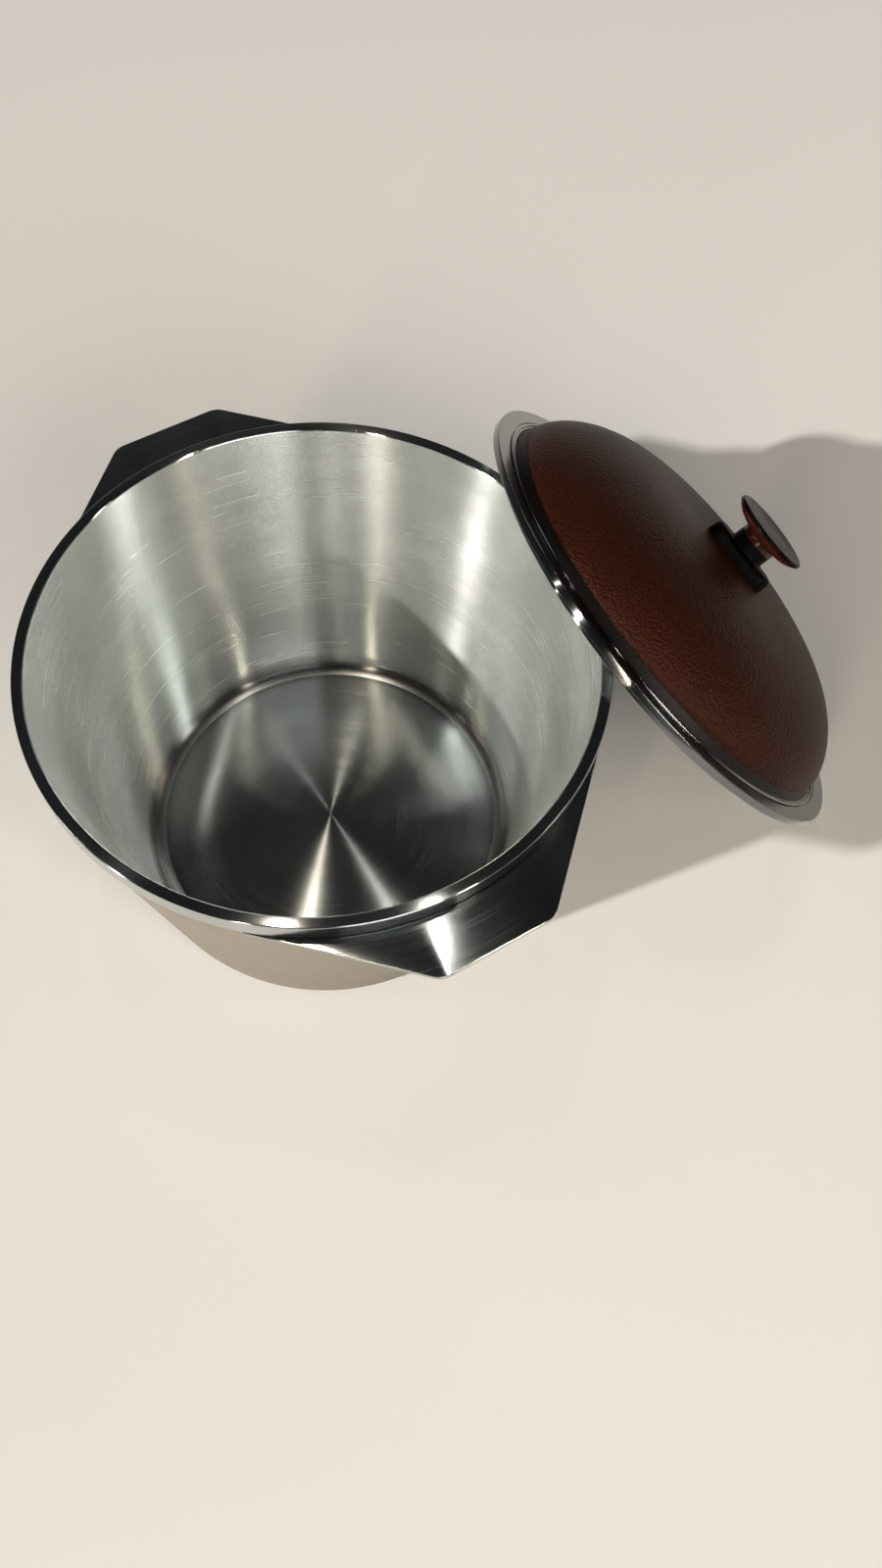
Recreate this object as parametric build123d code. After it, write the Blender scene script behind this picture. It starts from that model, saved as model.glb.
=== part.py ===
from build123d import *
from math import cos, radians, sin, tan
import os

# Cast-aluminium casserole with a lift-off lid, in millimetres.
# Origin: centre of the pot's flat base. +Z is up and the two wing handles lie along the X axis.
# The lid leans on the +Y side of the rim, with its lower edge on the surface that the pot stands on.

# Pot
rim_r = 125.0            # outer radius of the machined rim
rim_width = 4.9          # width of the flat rim ring
pot_height = 161.0
floor_thickness = 6.0
wall_draft = 10.3        # degrees that the wall leans in towards the floor
base_cone_r = 96.3       # where the outside wall's slope would meet the base
floor_corner_r = 8.0     # radius between the wall and the floor, inside
base_corner_r = 14.0     # radius between the wall and the base, outside
collar_height = 9.4      # machined band between the rim and the handle tops
groove_width = 0.9
groove_depth = 1.2
rim_bevel = 0.5

# Wing handles, cast in one with the pot
handle_reach = 148.6     # from the pot's axis to the straight outer edge
handle_half_width = 25.3  # at the outer edge
handle_flare = 46.2      # degrees between the handle's sides and the X axis
handle_corner_r = 9.0
handle_land = 2.0        # upright edge below the machined top
handle_depth = 8.0       # tapered part below that edge
handle_undercut = 34.0   # degrees that its sides slope in
handle_root_r = 94.0     # the handle's sides run in to this far from the axis
handle_inner_r = 120.8   # the handle's metal starts here, inside the wall

# Lid, in its own frame: the origin is the flange's centre and +Z runs up through the knob
flange_r = 123.2
flange_thickness = 3.5
flange_bevel = 0.5
spigot_r = 115.1
spigot_depth = 3.8
spigot_width = 4.4
seam_r = 115.0           # middle of the narrow groove round the dome
seam_width = 0.9
seam_depth = 0.9
bead_r = 0.8
skirt_r = 109.8          # top edge of the dome's upright skirt
skirt_height = 4.1
skirt_lean = 2.3
dome_height = 39.4
dome_fullness = 3.6      # powers of the dome's curve
dome_roundness = 0.66
dome_points = 14
shell_thickness = 3.6
crown_r = 24.0           # flat seat for the knob on top

# Where the lid leans: its centre, its tilt from level, the compass angle that its knob
# points towards, and the turn of the knob's bar about the lid's axis, in degrees
lid_centre = (24.3, 179.5, 94.6)
lid_tilt = 48.5
lid_bearing = 81.5
lid_turn = -61.0

# Knob
grip_r = 21.5
grip_top = 61.8          # height of the grip's rim above the flange
grip_dish = 1.5
grip_lip = 1.3           # half the thickness of the grip's rounded rim
grip_waist_r = 15.5      # the flare's middle, and how far it lies below the rim
grip_waist_drop = 5.0
grip_collar_r = 10.0
grip_collar_length = 3.4
grip_underside = 6.3     # from the grip's rim down to its collar
stem_r = 9.8
bar_length = 39.5
bar_width = 13.0
bar_height = 6.8
bar_edge_r = 1.6
insert_r = 4.0
insert_length = 6.9
screw_r = 2.5
screw_hole_r = 2.8
screw_head_r = 4.7
screw_head_height = 3.2
screw_head_edge_r = 1.3
screw_reach = 58.6
screw_slot_length = 6.1
screw_slot_width = 1.2
screw_slot_depth = 1.5
washer_r = 6.5
washer_thickness = 1.0
lock_washer_r = 4.4
lock_washer_thickness = 1.2
lock_washer_gap = 1.0

rim_inner_r = rim_r - rim_width
handle_top = pot_height - collar_height
collar_base = handle_top - groove_width
knob_seat = dome_height
collar_bottom = grip_top - grip_underside - grip_collar_length
screw_seat = dome_height - shell_thickness
head_top = screw_seat - washer_thickness - lock_washer_thickness


def inner_r(z):
    """Radius of the pot's inside wall at a height."""
    return rim_inner_r - (pot_height - rim_bevel - z) * tan(radians(wall_draft))


def outer_r(z):
    """Radius of the pot's outside wall at a height."""
    return base_cone_r + z * tan(radians(wall_draft))


def revolved(*points_and_edges):
    """Solid turned about Z from a closed outline in the XZ plane."""
    outline = make_face(Wire(points_and_edges))
    return revolve(outline, axis=Axis.Z)


def polyline(*points):
    """Straight edges through points given as (radius, height)."""
    corners = [Vector(r, 0, z) for r, z in points]
    return [Edge.make_line(a, b) for a, b in zip(corners, corners[1:])]


def corner_arc(centre_r, centre_z, radius, start, end):
    """Arc in the XZ plane, from one angle to another in degrees."""
    angles = (start, (start + end) / 2, end)
    points = [
        Vector(centre_r + radius * cos(radians(a)), 0, centre_z + radius * sin(radians(a)))
        for a in angles
    ]
    return Edge.make_three_point_arc(*points)


def ring(inner, outer, bottom, top):
    """Plain ring about Z."""
    tube = Cylinder(outer, top - bottom, align=(Align.CENTER, Align.CENTER, Align.MIN))
    hole = Cylinder(inner, 3 * (top - bottom))
    return Pos(0, 0, bottom) * (tube - hole)


def corner_centre_r(wall_r, radius):
    """Middle of an arc that meets the wall's slope; wall_r is the wall at the middle's height."""
    return wall_r - radius / cos(radians(wall_draft))


def slope_end(centre_r, centre_z, radius):
    """Where such an arc meets the wall."""
    turn = radians(wall_draft)
    return centre_r + radius * cos(turn), centre_z - radius * sin(turn)


inner_arc_z = floor_thickness + floor_corner_r
inner_arc_r = corner_centre_r(inner_r(inner_arc_z), floor_corner_r)
outer_arc_r = corner_centre_r(outer_r(base_corner_r), base_corner_r)


def pot_shell():
    """Floor, wall, machined collar and rim, turned in one."""
    outline = [
        corner_arc(inner_arc_r, inner_arc_z, floor_corner_r, -90, -wall_draft),
        *polyline(
            slope_end(inner_arc_r, inner_arc_z, floor_corner_r),
            (rim_inner_r, pot_height - rim_bevel),
            (rim_inner_r + rim_bevel, pot_height),
            (rim_r - rim_bevel, pot_height),
            (rim_r, pot_height - rim_bevel),
            (rim_r, handle_top),
            (rim_r - groove_depth, handle_top),
            (rim_r - groove_depth, collar_base),
            (outer_r(collar_base), collar_base),
            slope_end(outer_arc_r, base_corner_r, base_corner_r),
        ),
        corner_arc(outer_arc_r, base_corner_r, base_corner_r, -wall_draft, -90),
        *polyline((outer_arc_r, 0), (0, 0), (0, floor_thickness), (inner_arc_r, floor_thickness)),
    ]
    return revolved(*outline)


def wing_handle(side):
    """Flat-topped wing with rounded corners and undercut sides, on one side of the pot."""
    spread = tan(radians(handle_flare))
    root_half_width = handle_half_width + (handle_reach - handle_root_r) * spread
    outline = Polygon(
        (handle_reach, handle_half_width),
        (handle_root_r, root_half_width),
        (0, root_half_width),
        (0, -root_half_width),
        (handle_root_r, -root_half_width),
        (handle_reach, -handle_half_width),
        align=None,
    )
    corners = outline.vertices().filter_by(lambda v: v.X > handle_reach - 1)
    outline = fillet(corners, handle_corner_r)
    land = extrude(outline, amount=-handle_land)
    under = Pos(0, 0, -handle_land) * extrude(outline, amount=-handle_depth, taper=handle_undercut)
    blank = Pos(0, 0, handle_top) * (land + under)
    inside = Cylinder(handle_inner_r, pot_height, align=(Align.CENTER, Align.CENTER, Align.MIN))
    far_half = Pos(-rim_r, 0, pot_height / 2) * Box(2 * rim_r, 4 * rim_r, 2 * pot_height)
    wing = blank - inside - far_half
    return wing if side > 0 else mirror(wing, about=Plane.YZ)


def pot():
    """The whole casting."""
    body = pot_shell() + wing_handle(1) + wing_handle(-1)
    groove = ring(rim_r - groove_depth, rim_r + groove_width, handle_top - groove_width, handle_top)
    return body - groove


def dome_z(r, radius, foot, crown):
    """Height of the dome's curve at a radius."""
    return foot + (crown - foot) * (1 - (r / radius) ** dome_fullness) ** dome_roundness


def dome_curve(radius, foot, crown, flat_r):
    """The dome's curve, from its flat crown out to its foot."""
    turn = [radians(90 * i / (dome_points - 1)) for i in range(dome_points)]
    reach = [flat_r + (radius - flat_r) * sin(t) for t in turn]
    points = [Vector(r, 0, dome_z(r, radius, foot, crown)) for r in reach]
    points[0] = Vector(flat_r, 0, crown)
    return Edge.make_spline(points)


def lid_shell():
    """Flange, spigot, seam, bead, skirt and dome, turned in one."""
    inner_radius = skirt_r - shell_thickness
    spigot_bottom = -flange_thickness - spigot_depth
    seam_in = seam_r - seam_width / 2
    seam_out = seam_r + seam_width / 2
    bead_middle = seam_in - bead_r
    skirt_foot_r = skirt_r + skirt_lean
    outside = [
        dome_curve(skirt_r, skirt_height, dome_height, crown_r),
        *polyline((skirt_r, skirt_height), (skirt_foot_r, 0), (bead_middle - bead_r, 0)),
        corner_arc(bead_middle, 0, bead_r, 180, 0),
        *polyline(
            (seam_in, 0),
            (seam_in, -seam_depth),
            (seam_out, -seam_depth),
            (seam_out, 0),
            (flange_r - flange_bevel, 0),
            (flange_r, -flange_bevel),
            (flange_r, -flange_thickness + flange_bevel),
            (flange_r - flange_bevel, -flange_thickness),
            (spigot_r, -flange_thickness),
            (spigot_r, spigot_bottom),
            (spigot_r - spigot_width, spigot_bottom),
            (inner_radius, skirt_height - shell_thickness),
        ),
    ]
    inside = [
        dome_curve(inner_radius, skirt_height - shell_thickness, screw_seat, crown_r),
        *polyline(
            (crown_r, screw_seat),
            (screw_hole_r, screw_seat),
            (screw_hole_r, dome_height),
            (crown_r, dome_height),
        ),
    ]
    return revolved(*outside, *inside)


def knob_base():
    """Round stem with two rounded ears at its foot, in one moulding."""
    bar = extrude(SlotOverall(bar_length, bar_width), amount=bar_height)
    bar = fillet(bar.faces().sort_by(Axis.Z)[-1].edges(), bar_edge_r)
    stem = Cylinder(stem_r, collar_bottom - knob_seat, align=(Align.CENTER, Align.CENTER, Align.MIN))
    hole = Cylinder(screw_hole_r, 3 * (collar_bottom - knob_seat))
    return Pos(0, 0, knob_seat) * (bar + stem - hole)


def knob_grip():
    """Flared disc with a dished top and a short collar, with a blind hole for the insert."""
    collar_top = grip_top - grip_underside
    insert_top = collar_bottom + insert_length
    lip_foot = Vector(grip_r - 0.7 * grip_lip, 0, grip_top - 2 * grip_lip)
    lip_top = Vector(grip_r - grip_lip, 0, grip_top)
    flare_foot = Vector(grip_collar_r, 0, collar_top)
    waist = Vector(grip_waist_r, 0, grip_top - grip_waist_drop)
    dish_edge = Vector(grip_r / 2, 0, grip_top - 0.85 * grip_dish)
    dish_middle = Vector(0, 0, grip_top - grip_dish)
    flare_slopes = [Vector(1, 0, 0.18), Vector(1, 0, 1.3)]
    dish_slopes = [Vector(-1, 0, -0.25), Vector(-1, 0, 0)]
    outline = [
        Edge.make_spline([flare_foot, waist, lip_foot], tangents=flare_slopes),
        Edge.make_three_point_arc(lip_foot, Vector(grip_r, 0, grip_top - grip_lip), lip_top),
        Edge.make_spline([lip_top, dish_edge, dish_middle], tangents=dish_slopes),
        *polyline(
            (0, grip_top - grip_dish),
            (0, insert_top),
            (insert_r, insert_top),
            (insert_r, collar_bottom),
            (grip_collar_r, collar_bottom),
            (grip_collar_r, collar_top),
        ),
    ]
    return revolved(*outline)


def knob_insert():
    """Threaded brass bush moulded into the grip."""
    return ring(screw_r, insert_r, collar_bottom, collar_bottom + insert_length)


def lid_washer():
    """Flat washer under the lid's crown."""
    return ring(screw_hole_r, washer_r, screw_seat - washer_thickness, screw_seat)


def lock_washer():
    """Split spring washer between the flat washer and the screw's head."""
    top = screw_seat - washer_thickness
    coil = ring(screw_hole_r, lock_washer_r, top - lock_washer_thickness, top)
    return coil - Pos(lock_washer_r, 0, top) * Box(lock_washer_r, lock_washer_gap, 4 * lock_washer_thickness)


def lid_screw():
    """Pan-head screw with a cross slot, put in from inside the lid."""
    shank = Cylinder(screw_r, screw_reach - head_top, align=(Align.CENTER, Align.CENTER, Align.MIN))
    head = Cylinder(screw_head_r, screw_head_height, align=(Align.CENTER, Align.CENTER, Align.MAX))
    head = fillet(head.faces().sort_by(Axis.Z)[0].edges(), screw_head_edge_r)
    screw = Pos(0, 0, head_top) * (shank + head)
    slot_z = head_top - screw_head_height
    for turn in (0, 90):
        slot = Box(screw_slot_length, screw_slot_width, 2 * screw_slot_depth)
        screw -= Pos(0, 0, slot_z) * Rot(0, 0, turn) * slot
    return screw


lid_frame = Pos(*lid_centre) * Rot(0, 0, lid_bearing) * Rot(0, lid_tilt, 0) * Rot(0, 0, lid_turn)
nodes = {
    "pot_casting": pot(),
    "lid_casting": lid_frame * lid_shell(),
    "knob_base": lid_frame * knob_base(),
    "knob_grip": lid_frame * knob_grip(),
    "knob_insert": lid_frame * knob_insert(),
    "lid_screw": lid_frame * lid_screw(),
    "lid_washer": lid_frame * lid_washer(),
    "lock_washer": lid_frame * lock_washer(),
}

os.makedirs("parts", exist_ok=True)
for name, shape in nodes.items():
    shape.label = name
    export_step(shape, f"parts/{name}.step")
    box = shape.bounding_box()
    print(f"{name}: lowest {box.min.Z:.2f}, highest {box.max.Z:.2f}, volume {shape.volume:.0f}")
print(f"pot floor: flat radius {inner_arc_r:.1f}, base flat radius {outer_arc_r:.1f}")
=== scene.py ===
from math import atan2, cos, pi, radians, sin, sqrt, tan

import bmesh
import bpy
from mathutils import Matrix, Vector


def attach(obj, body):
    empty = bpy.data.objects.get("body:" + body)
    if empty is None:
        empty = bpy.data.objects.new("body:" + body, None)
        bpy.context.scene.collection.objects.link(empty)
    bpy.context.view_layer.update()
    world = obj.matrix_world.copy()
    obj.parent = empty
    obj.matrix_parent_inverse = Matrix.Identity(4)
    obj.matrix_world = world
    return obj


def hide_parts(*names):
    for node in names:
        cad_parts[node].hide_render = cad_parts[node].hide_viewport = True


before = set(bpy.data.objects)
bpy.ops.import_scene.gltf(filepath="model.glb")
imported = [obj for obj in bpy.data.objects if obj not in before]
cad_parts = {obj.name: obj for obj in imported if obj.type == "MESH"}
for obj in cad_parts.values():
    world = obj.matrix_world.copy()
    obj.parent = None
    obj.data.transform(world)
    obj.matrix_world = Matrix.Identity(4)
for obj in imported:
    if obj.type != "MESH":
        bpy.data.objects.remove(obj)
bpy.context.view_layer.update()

MM = 0.001

# ---------------------------------------------------------------- sizes, in millimetres
# Pot, with its axis on Z and its flat base at height 0
RIM_R = 125.0
RIM_WIDTH = 4.9
RIM_BEVEL = 0.5
POT_HEIGHT = 161.0
FLOOR_THICKNESS = 6.0
WALL_DRAFT = radians(10.3)
BASE_CONE_R = 96.3
FLOOR_CORNER_R = 8.0
BASE_CORNER_R = 14.0
BASE_FLAT_R = 82.0
COLLAR_HEIGHT = 9.4
GROOVE_WIDTH = 0.9
GROOVE_DEPTH = 1.2

# Wing handles
HANDLE_REACH = 148.6
HANDLE_HALF_WIDTH = 25.3
HANDLE_FLARE = radians(46.2)
HANDLE_CORNER_R = 9.0
HANDLE_LAND = 2.0
HANDLE_DEPTH = 8.0
HANDLE_UNDERCUT = radians(34.0)
HANDLE_ROOT_R = 94.0
HANDLE_TUCK = 5.2
HANDLE_EDGE_R = 0.35
HANDLE_UNDER_R = 3.0
HANDLE_FILLET_R = 7.0
HANDLE_BURIED = 0.8
HANDLE_LAND_R = 0.4
HANDLE_LIFT_RUN = 0.5
HANDLE_STUB = 8.0

# Lid, in its own frame: the flange's upper face at height 0 and the knob above it
LID_CENTRE = (24.3, 179.5, 94.6)
LID_TILT = radians(48.5)
LID_BEARING = radians(81.5)
LID_TURN = radians(-61.0)
FLANGE_R = 123.2
FLANGE_THICKNESS = 3.5
SPIGOT_R = 115.1
SPIGOT_DEPTH = 3.8
SPIGOT_WIDTH = 4.4
SEAM_R = 115.0
SEAM_WIDTH = 0.9
SEAM_DEPTH = 0.9
BEAD_R = 0.8
SKIRT_R = 109.8
SKIRT_HEIGHT = 4.1
SKIRT_LEAN = 2.3
DOME_HEIGHT = 39.4
DOME_FULLNESS = 3.6
DOME_ROUNDNESS = 0.66
SHELL_THICKNESS = 3.6
CROWN_R = 24.0

# Knob
GRIP_R = 21.5
GRIP_TOP = 61.8
GRIP_DISH = 1.5
GRIP_LIP = 1.3
GRIP_COLLAR_R = 10.0
GRIP_COLLAR_LENGTH = 3.4
GRIP_UNDERSIDE = 6.3
STEM_R = 9.8
STEM_FILLET_R = 1.6
BAR_LENGTH = 39.5
BAR_WIDTH = 13.0
BAR_HEIGHT = 6.8
BAR_EDGE_R = 2.6
BAR_DRAFT = 0.03
SCREW_HOLE_R = 2.8
INSERT_R = 4.0
INSERT_LENGTH = 6.9

SEGMENTS = 256
SMALL_SEGMENTS = 128
SUPPORT_GAP = 0.25
LONG_STRETCH = 5.0
SHARP_ANGLE = radians(40)
MERGE_GAP = 0.0005
LAMP_DISTANCE = 3.0

RIM_INNER_R = RIM_R - RIM_WIDTH
HANDLE_TOP = POT_HEIGHT - COLLAR_HEIGHT
GROOVE_FLOOR = HANDLE_TOP - GROOVE_WIDTH
GROOVE_OUTER_R = RIM_R + GROOVE_WIDTH
COLLAR_BOTTOM = GRIP_TOP - GRIP_UNDERSIDE - GRIP_COLLAR_LENGTH
SCREW_SEAT = DOME_HEIGHT - SHELL_THICKNESS


# ---------------------------------------------------------------- outlines and meshes
def inner_r(z):
    """Radius of the pot's inside wall at a height."""
    return RIM_INNER_R - (POT_HEIGHT - RIM_BEVEL - z) * tan(WALL_DRAFT)


def outer_r(z):
    """Radius of the pot's outside wall at a height."""
    return BASE_CONE_R + z * tan(WALL_DRAFT)


def swing(start, end, share):
    """Vector turned part of the way from one to the other."""
    whole = start.angle(end)
    return (start * sin((1 - share) * whole) + end * sin(share * whole)) / sin(whole)


def rounded(corners, steps=5):
    """Outline points with rounded corners, and the material slot of the stretch after each point.

    A corner is (radius from the axis, height, corner radius, slot of the stretch that follows).
    """
    points = []
    slots = []
    for i, (r, z, size, slot) in enumerate(corners):
        here = Vector((r, z))
        if size == 0:
            points.append(here)
            slots.append(slot)
            continue
        to_before = (Vector(corners[i - 1][:2]) - here).normalized()
        to_after = (Vector(corners[(i + 1) % len(corners)][:2]) - here).normalized()
        half = to_before.angle(to_after) / 2
        centre = here + (to_before + to_after).normalized() * size / sin(half)
        start = here + to_before * size / tan(half) - centre
        end = here + to_after * size / tan(half) - centre
        for k in range(steps + 1):
            points.append(centre + swing(start, end, k / steps))
            slots.append(slot)
    return points, slots


def supported(points, slots):
    """The same outline with a point close to each end of its long stretches."""
    more_points = []
    more_slots = []
    for i, (here, slot) in enumerate(zip(points, slots)):
        after = points[(i + 1) % len(points)]
        run = after - here
        stretch = [here]
        if run.length > LONG_STRETCH:
            step = run.normalized() * SUPPORT_GAP
            stretch += [here + step, after - step]
        more_points += stretch
        more_slots += [slot] * len(stretch)
    return more_points, more_slots


def finished(name, form, materials, place=Matrix.Identity(4)):
    """Object made from a bmesh in millimetres, smooth but for its sharp edges.

    Its mesh is put in place and the object stays at the origin, as a CAD node's does.
    """
    bmesh.ops.remove_doubles(form, verts=form.verts, dist=MERGE_GAP)
    bmesh.ops.recalc_face_normals(form, faces=form.faces)
    bmesh.ops.scale(form, vec=(MM, MM, MM), verts=form.verts)
    bmesh.ops.transform(form, matrix=place, verts=form.verts)
    mesh = bpy.data.meshes.new(name)
    form.to_mesh(mesh)
    form.free()
    for mat in materials:
        mesh.materials.append(mat)
    mesh.shade_smooth()
    mesh.set_sharp_from_angle(angle=SHARP_ANGLE)
    piece = bpy.data.objects.new(name, mesh)
    bpy.context.scene.collection.objects.link(piece)
    return piece


def bridge(form, near, far, slot):
    """Faces between two closed rows of as many points; a row may be one point over and over."""
    count = len(near)
    for k in range(count):
        loop = [near[k], near[(k + 1) % count], far[(k + 1) % count], far[k]]
        corners = list(dict.fromkeys(loop))
        if len(corners) > 2:
            form.faces.new(corners).material_index = slot


def turned(name, corners, materials, place=Matrix.Identity(4), segments=SEGMENTS):
    """Piece turned about Z from a closed outline of corners."""
    points, slots = supported(*rounded(corners))
    form = bmesh.new()
    rows = []
    for r, z in points:
        if r < MM:
            rows.append([form.verts.new((0, 0, z))] * segments)
            continue
        turn = [2 * pi * k / segments for k in range(segments)]
        rows.append([form.verts.new((r * cos(t), r * sin(t), z)) for t in turn])
    for i, slot in enumerate(slots):
        far = rows[(i + 1) % len(rows)]
        if rows[i][0] is rows[i][1] and far[0] is far[1]:
            continue
        bridge(form, rows[i], far, slot)
    return finished(name, form, materials, place)


# ---------------------------------------------------------------- shader nodes
class Tree:
    """Short calls that add nodes to a material."""

    def __init__(self, name):
        self.material = bpy.data.materials.new(name)
        self.material.use_nodes = True
        self.nodes = self.material.node_tree.nodes
        self.links = self.material.node_tree.links
        self.shader = self.nodes["Principled BSDF"]

    def put(self, value, socket):
        """Links an output to a socket, or sets the socket to a plain value."""
        if isinstance(value, bpy.types.NodeSocket):
            self.links.new(value, socket)
        else:
            socket.default_value = value

    def node(self, kind, **settings):
        made = self.nodes.new(kind)
        for key, value in settings.items():
            setattr(made, key, value)
        return made

    def set(self, **values):
        """Plain values on the shader's own sockets."""
        for key, value in values.items():
            self.shader.inputs[key.replace("_", " ")].default_value = value

    def place(self, axes=Matrix.Identity(4)):
        """Place on the object, in the given axes."""
        inverse = self.node("ShaderNodeMapping", vector_type="TEXTURE")
        inverse.inputs["Location"].default_value = axes.to_translation()
        inverse.inputs["Rotation"].default_value = axes.to_euler()
        self.put(self.node("ShaderNodeTexCoord").outputs["Object"], inverse.inputs["Vector"])
        return inverse.outputs[0]

    def tangent(self, place, axes):
        """Direction round the Z of the given axes, at a place in them."""
        turn = self.node("ShaderNodeVectorRotate", rotation_type="EULER_XYZ")
        turn.inputs["Rotation"].default_value = axes.to_euler()
        self.put(self.vector("CROSS_PRODUCT", (0.0, 0.0, 1.0), place), turn.inputs["Vector"])
        made = self.node("ShaderNodeVectorTransform", convert_from="OBJECT", convert_to="WORLD")
        self.put(turn.outputs[0], made.inputs[0])
        return made.outputs[0]

    def math(self, operation, a, b=0.0):
        made = self.node("ShaderNodeMath", operation=operation)
        self.put(a, made.inputs[0])
        self.put(b, made.inputs[1])
        return made.outputs[0]

    def vector(self, operation, a, b=(0.0, 0.0, 0.0), output=0):
        made = self.node("ShaderNodeVectorMath", operation=operation)
        self.put(a, made.inputs[0])
        self.put(b, made.inputs[1])
        return made.outputs[output]

    def noise(self, vector, scale, detail=2.0):
        made = self.node("ShaderNodeTexNoise")
        self.put(vector, made.inputs["Vector"])
        made.inputs["Scale"].default_value = scale
        made.inputs["Detail"].default_value = detail
        return made.outputs["Fac"]

    def cells(self, vector, scale):
        made = self.node("ShaderNodeTexVoronoi", feature="SMOOTH_F1")
        self.put(vector, made.inputs["Vector"])
        made.inputs["Scale"].default_value = scale
        made.inputs["Smoothness"].default_value = 0.6
        return made.outputs["Distance"]

    def remap(self, value, low, high, to_low=0.0, to_high=1.0):
        made = self.node("ShaderNodeMapRange")
        self.put(value, made.inputs["Value"])
        made.inputs["From Min"].default_value = low
        made.inputs["From Max"].default_value = high
        made.inputs["To Min"].default_value = to_low
        made.inputs["To Max"].default_value = to_high
        return made.outputs["Result"]

    def mix(self, share, a, b):
        """Colour part of the way from a to b."""
        made = self.node("ShaderNodeMix", data_type="RGBA")
        self.put(share, made.inputs[0])
        self.put(a, made.inputs[6])
        self.put(b, made.inputs[7])
        return made.outputs[2]

    def bump(self, height, distance):
        made = self.node("ShaderNodeBump")
        made.inputs["Distance"].default_value = distance * MM
        self.put(height, made.inputs["Height"])
        return made.outputs["Normal"]

    def shade(self, **outputs):
        """Links outputs to the shader's sockets and returns the material."""
        for key, value in outputs.items():
            self.links.new(value, self.shader.inputs[key.replace("_", " ")])
        return self.material


def sum_of(tree, *parts):
    """Weighted sum of outputs, given as (output, weight)."""
    total = tree.math("MULTIPLY", *parts[0])
    for output, weight in parts[1:]:
        total = tree.math("ADD", total, tree.math("MULTIPLY", output, weight))
    return total


def groove_run(tree, place):
    """Distance from the Z axis plus height, which grows all the way from the floor up the wall."""
    flat = tree.vector("MULTIPLY", place, (1.0, 1.0, 0.0))
    radius = tree.vector("LENGTH", flat, output=1)
    split = tree.node("ShaderNodeSeparateXYZ")
    tree.put(place, split.inputs[0])
    return tree.math("ADD", radius, split.outputs["Z"])


def groove_place(tree, place, pitch, turns=1.0):
    """Texture place that changes once per pitch across the grooves, and slowly round the Z axis."""
    outward = tree.vector("NORMALIZE", tree.vector("MULTIPLY", place, (1.0, 1.0, 0.0)))
    across = tree.math("MULTIPLY", groove_run(tree, place), 1 / (pitch * MM))
    join = tree.node("ShaderNodeCombineXYZ")
    tree.put(across, join.inputs["Z"])
    return tree.vector("ADD", join.outputs[0], tree.vector("MULTIPLY", outward, (turns, turns, turns)))


def hairlines(tree, place, pitch, turns, sparse):
    """Broken hairlines round the Z axis, 0 to 1; more turns make them shorter."""
    return tree.remap(tree.noise(groove_place(tree, place, pitch, turns), 1.0, 1.0), sparse, sparse + 0.10)


def scratches(tree, place, slant, gap, sparse):
    """Fine straight hairlines at one slant, about a gap apart, 0 to 1."""
    turn = tree.node("ShaderNodeVectorRotate", rotation_type="EULER_XYZ")
    tree.put(place, turn.inputs["Vector"])
    turn.inputs["Rotation"].default_value = slant
    drawn_out = tree.vector("MULTIPLY", turn.outputs[0], (1 / (gap * MM), 25.0, 25.0))
    return tree.remap(tree.noise(drawn_out, 1.0, 1.0), sparse, sparse + 0.08)


def turned_metal(
    name, colour, roughness, groove, wear, metallic=1.0, shadow_band=None, axes=Matrix.Identity(4)
):
    """Bright metal with turning marks round the axes' Z, broken hairlines and light stains.

    The shadow band is a painted shadow, dark where the floor turns into the wall: the distance from the
    axis plus the height of its middle, and its half width.
    """
    tree = Tree(name)
    place = tree.place(axes)
    fine = tree.noise(groove_place(tree, place, 0.35), 1.0, 2.0)
    middle = tree.noise(groove_place(tree, place, 1.6), 1.0, 2.0)
    broad = tree.noise(groove_place(tree, place, 9.0), 1.0, 2.0)
    blotch = tree.noise(place, 22.0, 3.0)
    lines = sum_of(
        tree,
        (hairlines(tree, place, 0.5, 1.6, 0.62), 1.0),
        (hairlines(tree, place, 0.8, 3.0, 0.66), 0.7),
    )
    height = sum_of(tree, (fine, 0.5), (middle, 0.5), (lines, -wear))
    stain = tree.remap(sum_of(tree, (blotch, 0.6), (broad, 0.4)), 0.42, 0.62)
    tree.set(Metallic=metallic, Anisotropic=1.0, Anisotropic_Rotation=0.25)
    rough = sum_of(tree, (blotch, 0.08), (middle, 0.06), (lines, 0.04))
    paler = tuple(min(1.0, 1.15 * c) for c in colour[:3]) + (1,)
    tone = tree.mix(stain, colour, paler)
    # Painted shadow: darkens the colour in a band round the corner between floor and wall.
    if shadow_band:
        middle_run, half_width = shadow_band
        run = groove_run(tree, place)
        off = tree.math("ABSOLUTE", tree.math("SUBTRACT", run, middle_run * MM))
        share = tree.remap(off, 0.2 * half_width * MM, half_width * MM, 0.9, 0.0)
        tone = tree.mix(share, tone, (0.03, 0.03, 0.03, 1))
    return tree.shade(
        Base_Color=tone,
        Roughness=tree.math("ADD", rough, roughness - 0.08),
        Normal=tree.bump(height, groove),
        Tangent=tree.tangent(place, axes),
    )


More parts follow.
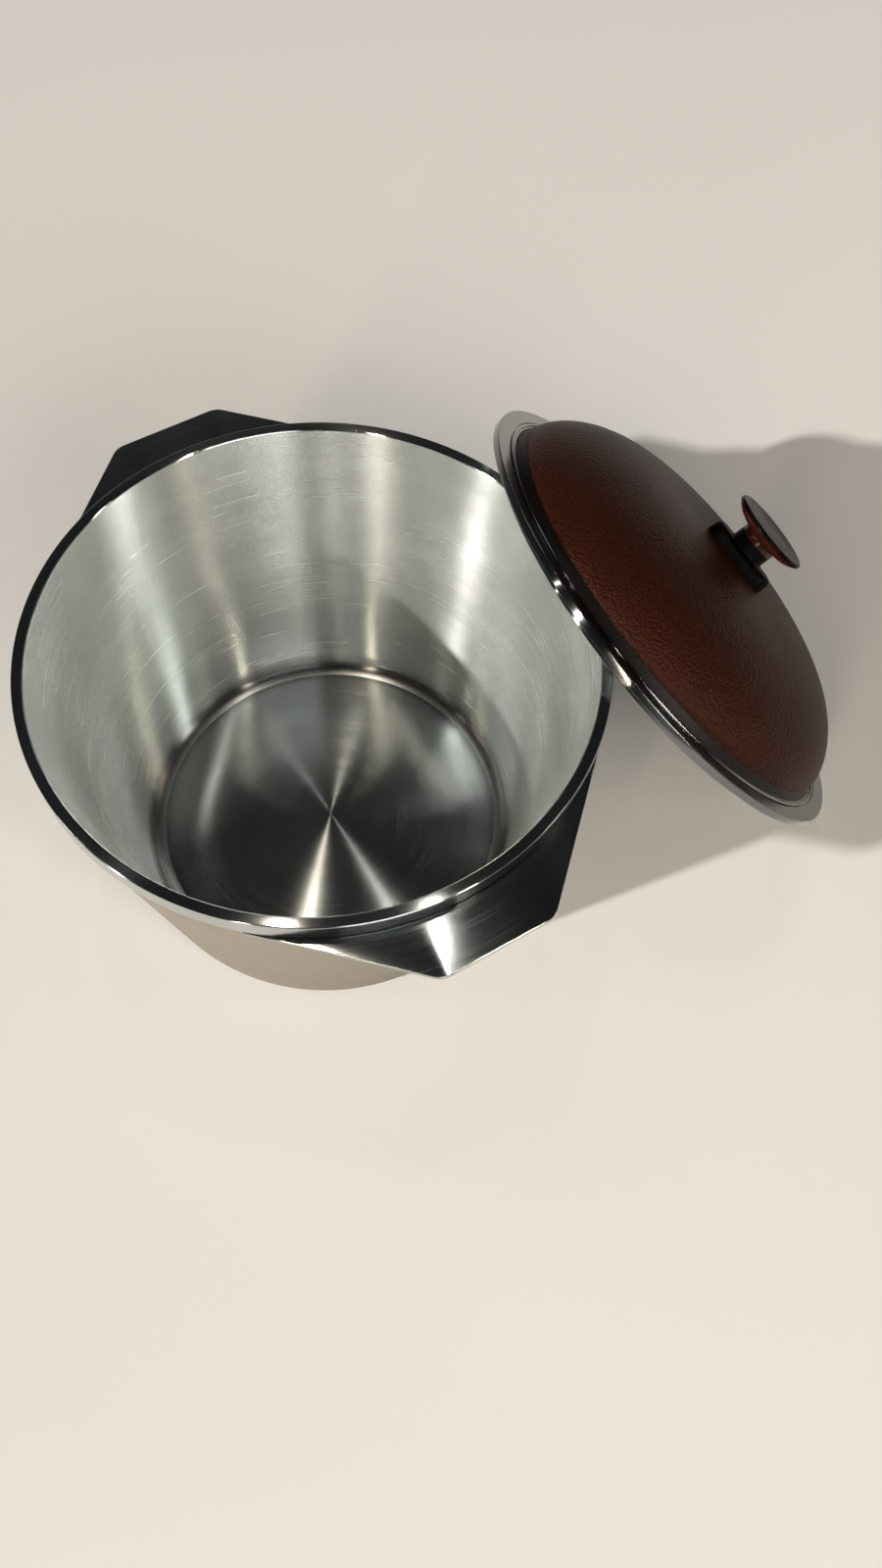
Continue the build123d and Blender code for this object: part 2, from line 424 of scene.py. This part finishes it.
def pebbled_coat(name, colour, dark, pebble, height, roughness, speckle, gloss=0.5):
    """Sprayed coating with a pebbled skin."""
    tree = Tree(name)
    place = tree.place()
    skin = tree.cells(place, 1 / (pebble * MM))
    fine = tree.noise(place, 2.6 / (pebble * MM), 2.0)
    cloud = tree.noise(place, 14.0, 4.0)
    grain = tree.remap(skin, 0.15, 0.75)
    tree.set(Specular_IOR_Level=gloss)
    shade_share = sum_of(tree, (grain, speckle), (tree.remap(cloud, 0.3, 0.7), 0.35))
    uneven = sum_of(tree, (fine, 0.5), (cloud, 0.5))
    return tree.shade(
        Base_Color=tree.mix(shade_share, colour, dark),
        Roughness=tree.remap(uneven, 0.3, 0.7, roughness - 0.06, roughness + 0.08),
        Normal=tree.bump(sum_of(tree, (skin, -1.0), (fine, 0.35)), height),
    )


def moulded(name, colour, roughness, coat, gloss=0.5):
    """Moulded phenolic plastic with faint flow clouds and fine wear."""
    tree = Tree(name)
    place = tree.place()
    cloud = tree.noise(place, 120.0, 3.0)
    fine = tree.noise(place, 2600.0, 2.0)
    lines = scratches(tree, place, (0.3, 0.8, 1.1), 0.5, 0.68)
    darker = tuple(0.55 * c for c in colour[:3]) + (1,)
    tree.set(Coat_Weight=coat, Coat_Roughness=0.08, Specular_IOR_Level=gloss)
    uneven = tree.remap(cloud, 0.3, 0.7, roughness - 0.04, roughness + 0.05)
    return tree.shade(
        Base_Color=tree.mix(tree.remap(cloud, 0.35, 0.65), colour, darker),
        Roughness=sum_of(tree, (uneven, 1.0), (lines, 0.08)),
        Normal=tree.bump(sum_of(tree, (fine, 0.5), (lines, -0.5)), 0.01),
    )


def fastener_metal(name, colour, roughness):
    """Small turned metal part seen as plain bright metal with fine marks."""
    tree = Tree(name)
    place = tree.place()
    fine = tree.noise(place, 3000.0, 3.0)
    cloud = tree.noise(place, 260.0, 3.0)
    darker = tuple(0.7 * c for c in colour[:3]) + (1,)
    tree.set(Metallic=1.0)
    return tree.shade(
        Base_Color=tree.mix(tree.remap(cloud, 0.35, 0.7), colour, darker),
        Roughness=tree.remap(cloud, 0.3, 0.7, roughness - 0.06, roughness + 0.08),
        Normal=tree.bump(fine, 0.006),
    )


# ---------------------------------------------------------------- pot
def pot_body(materials):
    """Floor, wall, rim, collar and base of the casting, turned in one."""
    bottom, inside, rim, coat, base = range(5)
    corners = [
        (0, FLOOR_THICKNESS, 0, bottom),
        (inner_r(FLOOR_THICKNESS), FLOOR_THICKNESS, FLOOR_CORNER_R, inside),
        (RIM_INNER_R, POT_HEIGHT - RIM_BEVEL, 0.15, rim),
        (RIM_INNER_R + RIM_BEVEL, POT_HEIGHT, 0.2, rim),
        (RIM_R, POT_HEIGHT, RIM_BEVEL, rim),
        (RIM_R, HANDLE_TOP, 0.2, rim),
        (RIM_R - GROOVE_DEPTH, HANDLE_TOP, 0, rim),
        (RIM_R - GROOVE_DEPTH, GROOVE_FLOOR, 0, coat),
        (outer_r(GROOVE_FLOOR), GROOVE_FLOOR, 0, coat),
        (outer_r(0), 0, BASE_CORNER_R, coat),
        (BASE_FLAT_R, 0, 0, base),
        (0, 0, 0, base),
    ]
    return turned("pot_body", corners, materials)


def wing_reach(angle, inset):
    """Distance from the pot's axis to the wing's outline at an angle, with the outline drawn in."""
    ray = Vector((cos(angle), abs(sin(angle))))
    corner = Vector((HANDLE_REACH, HANDLE_HALF_WIDTH))
    side = Vector((sin(HANDLE_FLARE), cos(HANDLE_FLARE)))
    root_half_width = HANDLE_HALF_WIDTH + (HANDLE_REACH - HANDLE_ROOT_R) * tan(HANDLE_FLARE)
    edges = ((Vector((1, 0)), HANDLE_REACH), (side, side.dot(corner)), (Vector((0, 1)), root_half_width))
    reach = min((far - inset) / normal.dot(ray) for normal, far in edges if normal.dot(ray) > MM)
    bend = Vector(
        (
            HANDLE_REACH - HANDLE_CORNER_R,
            HANDLE_HALF_WIDTH + HANDLE_CORNER_R * (side.x - 1) / side.y,
        )
    )
    offset = ray * reach - bend
    if offset.y > 0 and offset.dot(Vector((-side.y, side.x))) < 0:
        along = ray.dot(bend)
        reach = along + sqrt(along**2 - bend.length_squared + (HANDLE_CORNER_R - inset) ** 2)
    return reach


def wing_angles():
    """Angles of the wing's cross-sections, close together where its outline turns."""
    root_half_width = HANDLE_HALF_WIDTH + (HANDLE_REACH - HANDLE_ROOT_R) * tan(HANDLE_FLARE)
    end = atan2(root_half_width, HANDLE_ROOT_R - HANDLE_TUCK)
    half = [end * k / 90 for k in range(91)]
    return [-a for a in reversed(half[1:])] + half


def wing_section(angle):
    """Cross-section of the wing at an angle, as (radius, height, material slot)."""
    metal, coat = range(2)
    full = wing_reach(angle, 0)
    lift = min(max((full - GROOVE_OUTER_R) / HANDLE_LIFT_RUN, 0), 1)
    top = GROOVE_FLOOR + lift * GROOVE_WIDTH
    groove_r = min(GROOVE_OUTER_R, full - 0.02)
    below = HANDLE_LAND + HANDLE_DEPTH
    slant = HANDLE_DEPTH * tan(HANDLE_UNDERCUT)
    profile = [
        (-HANDLE_STUB, 0, 0, metal),
        (0, 0, HANDLE_EDGE_R, metal),
        (0, -HANDLE_LAND, HANDLE_LAND_R, coat),
        (-slant, -below, HANDLE_UNDER_R, coat),
        (-slant - HANDLE_STUB, -below, 0, coat),
    ]
    points, slots = rounded(profile)
    outer = list(zip(points, slots))[1:-1]
    section = [
        (RIM_R - GROOVE_DEPTH - HANDLE_BURIED, GROOVE_FLOOR, metal),
        (groove_r, GROOVE_FLOOR, metal),
        (groove_r, top, metal),
    ]
    for (drawn_in, drop), slot in outer:
        section.append((wing_reach(angle, -drawn_in), top + drop * min(1, full / RIM_R), slot))
    bottom = section[-1][1]
    room = max(section[-1][0] - outer_r(bottom), 0)
    size = min(HANDLE_FILLET_R, 0.6 * room)
    for k in range(9):
        t = radians(90) * k / 8
        height = bottom - size * (1 - cos(t))
        section.append((outer_r(bottom) + size * (1 - sin(t)), height, coat))
    section.append((outer_r(bottom) - HANDLE_BURIED - 0.2 * HANDLE_FILLET_R, bottom - size, coat))
    return [(max(r, outer_r(z) - HANDLE_BURIED), z, slot) for r, z, slot in section]


def wing_handle(name, side, materials):
    """One of the pot's two flat-topped wings, run into the wall with a fillet."""
    form = bmesh.new()
    angles = wing_angles()
    sections = [wing_section(angle) for angle in angles]
    columns = []
    for angle, section in zip(angles, sections):
        column = [form.verts.new((side * r * cos(angle), r * sin(angle), z)) for r, z, _ in section]
        columns.append(column)
    slots = [slot for _, _, slot in sections[-1]]
    count = len(slots)
    for near, far in zip(columns, columns[1:]):
        for i in range(count):
            loop = (near[i], near[(i + 1) % count], far[(i + 1) % count], far[i])
            form.faces.new(loop).material_index = slots[i]
    for end in (columns[0], columns[-1]):
        form.faces.new(end).material_index = 1
    return finished(name, form, materials)


# ---------------------------------------------------------------- lid
def lid_frame():
    """Where the lid's own frame stands."""
    turn = Matrix.Rotation(LID_BEARING, 4, "Z") @ Matrix.Rotation(LID_TILT, 4, "Y")
    return Matrix.Translation(Vector(LID_CENTRE) * MM) @ turn @ Matrix.Rotation(LID_TURN, 4, "Z")


def dome_points(radius, foot, crown, slot, count=48):
    """Corners along the dome's curve, from its flat crown out to its foot."""
    corners = []
    for k in range(count + 1):
        r = CROWN_R + (radius - CROWN_R) * sin(radians(90) * k / count)
        rise = (1 - min(r / radius, 1) ** DOME_FULLNESS) ** DOME_ROUNDNESS
        corners.append((r, foot + (crown - foot) * rise, 0, slot))
    return corners


def lid_shell(materials, place):
    """Flange, spigot, seam, bead, skirt and dome, turned in one."""
    coat, skirt, metal, inside = range(4)
    inner_radius = SKIRT_R - SHELL_THICKNESS
    inner_foot = SKIRT_HEIGHT - SHELL_THICKNESS
    spigot_bottom = -FLANGE_THICKNESS - SPIGOT_DEPTH
    seam_in = SEAM_R - SEAM_WIDTH / 2
    seam_out = SEAM_R + SEAM_WIDTH / 2
    bead_middle = seam_in - BEAD_R
    bead = [
        (bead_middle - BEAD_R * cos(radians(t)), BEAD_R * sin(radians(t)), 0, metal)
        for t in range(0, 181, 20)
    ]
    corners = [
        (SCREW_HOLE_R, DOME_HEIGHT, 0.2, coat),
        (CROWN_R - 1, DOME_HEIGHT, 0, coat),
        *dome_points(SKIRT_R, SKIRT_HEIGHT, DOME_HEIGHT, coat)[:-1],
        # The skirt gets its own near-black copy of the coat: painted shade on the steep band round the
        # dome's foot.
        (SKIRT_R, SKIRT_HEIGHT, 0, skirt),
        (SKIRT_R + SKIRT_LEAN, 0, 0.3, metal),
        *bead,
        (seam_in, -SEAM_DEPTH, 0, metal),
        (seam_out, -SEAM_DEPTH, 0, metal),
        (seam_out, 0, 0.15, metal),
        (FLANGE_R, 0, 0.5, metal),
        (FLANGE_R, -FLANGE_THICKNESS, 0.5, metal),
        (SPIGOT_R, -FLANGE_THICKNESS, 0.3, metal),
        (SPIGOT_R, spigot_bottom, 0.5, metal),
        (SPIGOT_R - SPIGOT_WIDTH, spigot_bottom, 0.8, inside),
        *reversed(dome_points(inner_radius, inner_foot, SCREW_SEAT, inside)),
        (CROWN_R - 1, SCREW_SEAT, 0, inside),
        (SCREW_HOLE_R, SCREW_SEAT, 0.2, inside),
    ]
    return turned("lid_shell", corners, materials, place)


def bar_reach(angle, inset):
    """Distance from the knob's axis to the outline of its bar, with the outline drawn in."""
    half_width = BAR_WIDTH / 2 - inset
    end = BAR_LENGTH / 2 - BAR_WIDTH / 2
    along = abs(cos(angle))
    across = abs(sin(angle))
    if across * end >= along * half_width:
        return half_width / across
    return along * end + sqrt((along * end) ** 2 - end**2 + half_width**2)


def knob_bar(materials, place):
    """Bar with rounded ends on the crown, and the stem that stands on it."""
    form = bmesh.new()
    profile = [
        (0, 0, 0, 0),
        (0, BAR_HEIGHT, BAR_EDGE_R, 0),
        (-5.0, BAR_HEIGHT, 0, 0),
    ]
    points, _ = rounded(profile)
    turn = [2 * pi * k / SMALL_SEGMENTS for k in range(SMALL_SEGMENTS)]
    rows = []

    def add_row(reach_at, z):
        spots = [(reach_at(t) * cos(t), reach_at(t) * sin(t), z) for t in turn]
        rows.append([form.verts.new(spot) for spot in spots])

    for drawn_in, z in points[:-1]:
        add_row(lambda t: bar_reach(t, -drawn_in + BAR_DRAFT * z), DOME_HEIGHT + z)
    bar_top = DOME_HEIGHT + BAR_HEIGHT
    for k in range(7):
        drop = radians(90) * k / 6
        lift = STEM_FILLET_R * (1 - cos(drop))
        add_row(lambda t: STEM_R + STEM_FILLET_R * (1 - sin(drop)), bar_top + lift)
    for r, z in ((STEM_R, COLLAR_BOTTOM), (SCREW_HOLE_R, COLLAR_BOTTOM), (SCREW_HOLE_R, DOME_HEIGHT)):
        add_row(lambda t: r, z)
    for i, row in enumerate(rows):
        bridge(form, row, rows[(i + 1) % len(rows)], 0)
    return finished("knob_bar", form, materials, place)


def knob_grip(materials, place):
    """Flared disc with a dished top, a rounded rim and a short collar."""
    brown, black = range(2)
    collar_top = GRIP_TOP - GRIP_UNDERSIDE
    flare_out = GRIP_R - 0.7 * GRIP_LIP
    flare_top = GRIP_TOP - 2 * GRIP_LIP
    flare = []
    for k in range(1, 15):
        share = k / 14
        rise = 0.32 * share + 0.68 * share**3
        r = GRIP_COLLAR_R + (flare_out - GRIP_COLLAR_R) * share
        flare.append((r, collar_top + (flare_top - collar_top) * rise, 0, brown))
    dish_r = GRIP_R - GRIP_LIP
    lip_z = GRIP_TOP - GRIP_LIP
    lip = [
        (dish_r + GRIP_LIP * cos(radians(t)), lip_z + GRIP_LIP * sin(radians(t)), 0, black)
        for t in range(-30, 91, 15)
    ]
    dish = [
        (dish_r * (1 - k / 10), GRIP_TOP - GRIP_DISH * (1 - (1 - k / 10) ** 2.4), 0, black)
        for k in range(1, 11)
    ]
    corners = [
        *dish,
        (0, COLLAR_BOTTOM + INSERT_LENGTH, 0, brown),
        (INSERT_R, COLLAR_BOTTOM + INSERT_LENGTH, 0, brown),
        (INSERT_R, COLLAR_BOTTOM, 0, brown),
        (GRIP_COLLAR_R, COLLAR_BOTTOM, 0.4, brown),
        (GRIP_COLLAR_R, collar_top, 0.8, brown),
        *flare,
        *lip,
    ]
    return turned("knob_disc", corners, materials, place, SMALL_SEGMENTS)


# ---------------------------------------------------------------- studio
def heading(azimuth, elevation):
    """Direction at a compass angle from +X and an angle above level, in degrees."""
    a, e = radians(azimuth), radians(elevation)
    return Vector((cos(e) * cos(a), cos(e) * sin(a), sin(e)))


def camera():
    """The camera, placed and turned as for the reference view."""
    place = Vector((281.2, -121.9, 621.8)) * MM
    aim = Vector((81.0, 13.3, 161.0)) * MM
    roll = radians(3.9)
    back = (place - aim).normalized()
    level = Vector((0, 0, 1)).cross(back).normalized()
    upward = back.cross(level)
    right = cos(roll) * level + sin(roll) * upward
    up = cos(roll) * upward - sin(roll) * level
    data = bpy.data.cameras.new("camera")
    data.lens = 30.1
    data.sensor_width = 36.0
    eye = bpy.data.objects.new("camera", data)
    bpy.context.scene.collection.objects.link(eye)
    columns = Matrix((right, up, back)).transposed().to_4x4()
    eye.matrix_world = Matrix.Translation(place) @ columns
    bpy.context.scene.camera = eye


def floor():
    """Plain pale floor."""
    form = bmesh.new()
    bmesh.ops.create_grid(form, x_segments=1, y_segments=1, size=8.0 / MM)
    tree = Tree("floor_paint")
    cloud = tree.noise(tree.place(), 3.0, 2.0)
    tree.set(Roughness=0.9)
    paint = tree.shade(Base_Color=tree.mix(cloud, (0.66, 0.655, 0.64, 1), (0.69, 0.685, 0.67, 1)))
    finished("floor", form, [paint])


def sun():
    """Hard key light."""
    data = bpy.data.lights.new("sun", "SUN")
    data.energy = 3.2
    data.angle = radians(1.6)
    data.color = (1.0, 0.96, 0.90)
    lamp = bpy.data.objects.new("sun", data)
    bpy.context.scene.collection.objects.link(lamp)
    lamp.rotation_euler = (-heading(-92, 29.5)).to_track_quat("-Z", "Y").to_euler()


def strip(name, azimuth, elevation, width, height, energy, colour):
    """Rectangular lamp that faces the origin; a narrow one gives the turned metal a streak."""
    data = bpy.data.lights.new(name, "AREA")
    data.shape = "RECTANGLE"
    data.size = width
    data.size_y = height
    data.energy = energy
    data.color = colour
    lamp = bpy.data.objects.new(name, data)
    bpy.context.scene.collection.objects.link(lamp)
    lamp.location = LAMP_DISTANCE * heading(azimuth, elevation)
    lamp.rotation_euler = (-heading(azimuth, elevation)).to_track_quat("-Z", "Y").to_euler()


def sky():
    """Weak light from the sides that fades to nearly dark overhead."""
    world = bpy.data.worlds.new("studio")
    world.use_nodes = True
    nodes, links = world.node_tree.nodes, world.node_tree.links
    place = nodes.new("ShaderNodeTexCoord")
    split = nodes.new("ShaderNodeSeparateXYZ")
    ramp = nodes.new("ShaderNodeValToRGB")
    stops = ramp.color_ramp.elements
    stops[0].position = 0.0
    stops[0].color = (0.10, 0.103, 0.106, 1)
    stops[1].position = 1.0
    stops[1].color = (0.02, 0.02, 0.022, 1)
    for position, level in ((0.25, 0.06), (0.55, 0.035), (0.75, 0.015)):
        stop = stops.new(position)
        stop.color = (level, level, 1.02 * level, 1)
    links.new(place.outputs["Generated"], split.inputs[0])
    links.new(split.outputs["Z"], ramp.inputs["Fac"])
    links.new(ramp.outputs["Color"], nodes["Background"].inputs["Color"])
    bpy.context.scene.world = world


# ---------------------------------------------------------------- making
camera()
floor()
sun()
sky()
strip("window_right", -53.6, 35.5, 0.05, 1.6, 24, (1.0, 0.85, 0.66))
strip("window_left", 16.4, 34.5, 0.04, 1.6, 20, (1.0, 0.88, 0.72))
strip("window_far", 52, 38, 0.03, 1.2, 3.5, (1.0, 0.88, 0.72))
strip("window_near", -110.6, 35.5, 0.04, 1.2, 4, (1.0, 0.92, 0.80))
strip("window_soft", -8, 32, 1.4, 1.2, 34, (1.0, 0.97, 0.92))
strip("skylight", 128, 42, 0.8, 0.5, 3, (0.92, 0.96, 1.0))
strip("lamp_broad", 172.4, 76, 0.05, 0.05, 3.2, (1.0, 0.88, 0.72))
strip("lamp_narrow", 130, 76, 0.03, 0.03, 1.6, (1.0, 0.93, 0.84))

# Painted shadow band in the corner where the pot's floor meets its wall, used by the floor and wall
# metals.
floor_corner_shadow = (inner_r(FLOOR_THICKNESS) + FLOOR_THICKNESS, 11.0)
# The floor's colour is set much darker than the wall's: a painted dark reflection on the same turned
# metal.
floor_metal_painted_dark = turned_metal("floor_metal_painted_dark", (0.34, 0.37, 0.37, 1), 0.15, 0.012, 0.3, 0.97, floor_corner_shadow)
wall_metal = turned_metal("wall_metal", (0.79, 0.815, 0.80, 1), 0.24, 0.018, 0.11, 0.84, floor_corner_shadow)
rim_metal = turned_metal("rim_metal", (0.50, 0.53, 0.53, 1), 0.13, 0.006, 0.3)
handle_metal = turned_metal("handle_metal", (0.40, 0.43, 0.43, 1), 0.14, 0.006, 0.3)
base_metal = turned_metal("base_metal", (0.66, 0.68, 0.68, 1), 0.32, 0.03, 0.4, 0.9)
# The flange's colour is set far darker than the lid's other metal: a painted dark reflection on the same
# turned metal.
flange_metal_painted_dark = turned_metal("flange_metal_painted_dark", (0.18, 0.187, 0.19, 1), 0.14, 0.006, 0.3, axes=lid_frame())
lid_metal = turned_metal("lid_metal", (0.62, 0.65, 0.64, 1), 0.26, 0.018, 0.3, 0.88, axes=lid_frame())
# Pot coat: a dark warm brown coating, lightened to taupe by painted sheen of bright light.
taupe_coat_with_painted_sheen = pebbled_coat(
    "taupe_coat_with_painted_sheen", (0.26, 0.228, 0.178, 1), (0.15, 0.125, 0.095, 1), 1.0, 0.14, 0.45, 0.5,
)
lid_coat = pebbled_coat(
    "lid_coat", (0.036, 0.0075, 0.003, 1), (0.010, 0.0025, 0.0015, 1), 1.3, 0.50, 0.40, 0.4, 0.08,
)
# Near-black copy of the lid's coat for the skirt: painted shade.
skirt_painted_shade = pebbled_coat(
    "skirt_painted_shade", (0.010, 0.007, 0.006, 1), (0.005, 0.004, 0.004, 1), 1.4, 0.10, 0.45, 0.4, 0.15,
)
black_mould = moulded("black_mould", (0.003, 0.003, 0.003, 1), 0.42, 0.0, 0.04)
black_gloss = moulded("black_gloss", (0.003, 0.003, 0.003, 1), 0.22, 0.0, 0.03)
brown_mould = moulded("brown_mould", (0.060, 0.014, 0.007, 1), 0.20, 0.25, 0.2)
steel = fastener_metal("steel", (0.60, 0.60, 0.60, 1), 0.25)
brass = fastener_metal("brass", (0.75, 0.56, 0.26, 1), 0.28)

pot_skin = [floor_metal_painted_dark, wall_metal, rim_metal, taupe_coat_with_painted_sheen, base_metal]
wing_skin = [handle_metal, taupe_coat_with_painted_sheen]
lid_skin = [lid_coat, skirt_painted_shade, flange_metal_painted_dark, lid_metal]
pieces = [
    (pot_body(pot_skin), "pot", "pot_metal", "pot_casting"),
    (wing_handle("handle_right", 1, wing_skin), "pot", "pot_metal", "pot_casting"),
    (wing_handle("handle_left", -1, wing_skin), "pot", "pot_metal", "pot_casting"),
    (lid_shell(lid_skin, lid_frame()), "lid", "lid_coating", "lid_casting"),
    (knob_bar([black_mould], lid_frame()), "lid", "knob_black", "knob_base"),
    (knob_grip([brown_mould, black_gloss], lid_frame()), "lid", "knob_brown", "knob_grip"),
]
for piece, body, slot, node in pieces:
    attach(piece, body)
    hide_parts(node)

fasteners = {"knob_insert": brass, "lid_screw": steel, "lid_washer": steel, "lock_washer": steel}
for name, metal in fasteners.items():
    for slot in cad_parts[name].material_slots:
        slot.material = metal

bpy.context.scene.view_settings.view_transform = "Standard"
